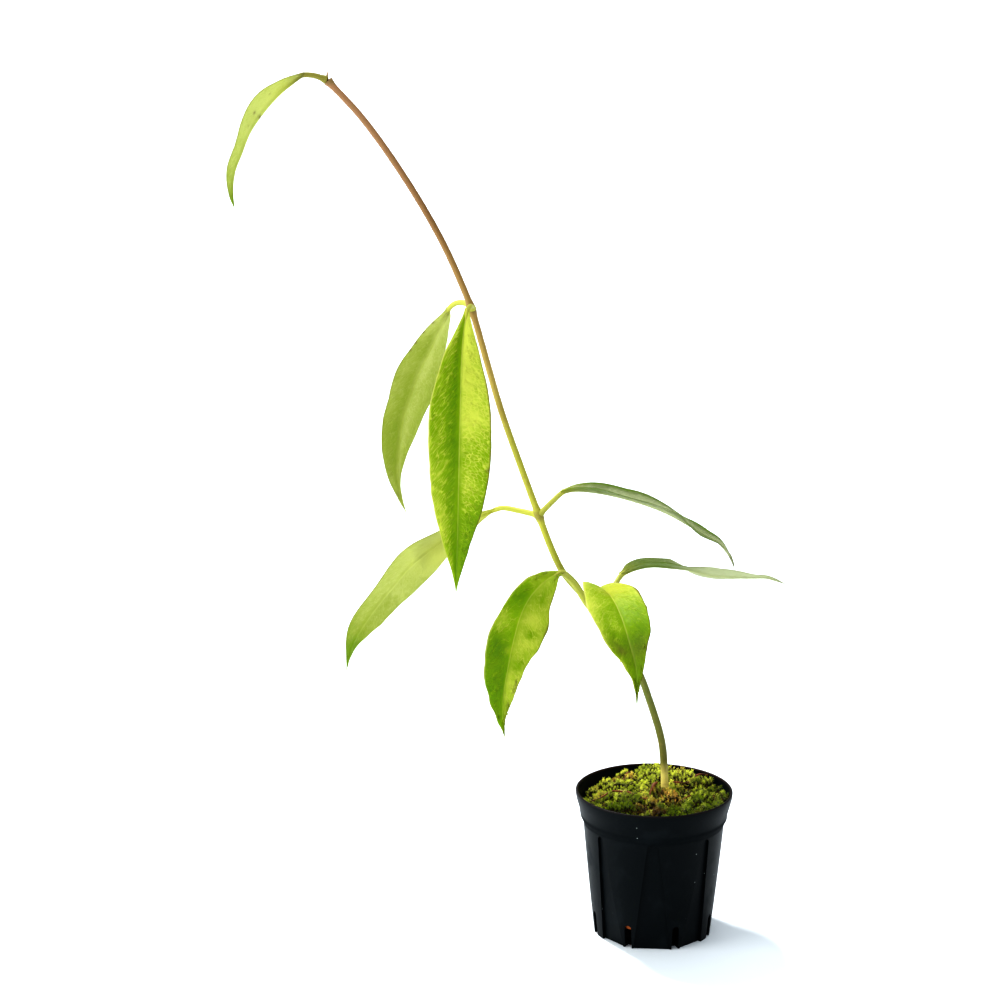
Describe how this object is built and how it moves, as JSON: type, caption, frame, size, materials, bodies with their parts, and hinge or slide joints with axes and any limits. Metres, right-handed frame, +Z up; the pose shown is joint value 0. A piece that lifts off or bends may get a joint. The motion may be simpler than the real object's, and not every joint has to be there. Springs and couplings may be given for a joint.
{
  "type": "potted hoya climber",
  "caption": "Young wax-plant climber with lance-shaped, deeply veined leaves in pairs up a slanting stem, rooted in a small slotted nursery pot topped with moss.",
  "frame": {"origin": "centre of the pot's flat underside, on the surface that it stands on", "axes": "+Z up along the pot's axis; -Y is the front that the picture shows; +X to its right"},
  "size_m": [0.2628, 0.1401, 0.4071],
  "materials": {
    "pot": "satin black moulded plastic",
    "medium": "loose coarse bark and fibre",
    "moss": "matt, tufted",
    "stem": "smooth, half woody",
    "leaf": "thick, satin, slightly translucent"
  },
  "bodies": {
    "root": {"pot": "pot", "growing_medium": "medium", "moss_carpet": "moss", "stem": "stem", "leaf_youngest_left": "leaf", "leaf_fourth_node_back": "leaf", "leaf_fourth_node_front": "leaf", "leaf_third_node_left": "leaf", "leaf_third_node_right": "leaf", "leaf_second_node_front": "leaf", "leaf_first_node_front": "leaf", "leaf_second_node_back": "leaf"}
  },
  "joints": []
}
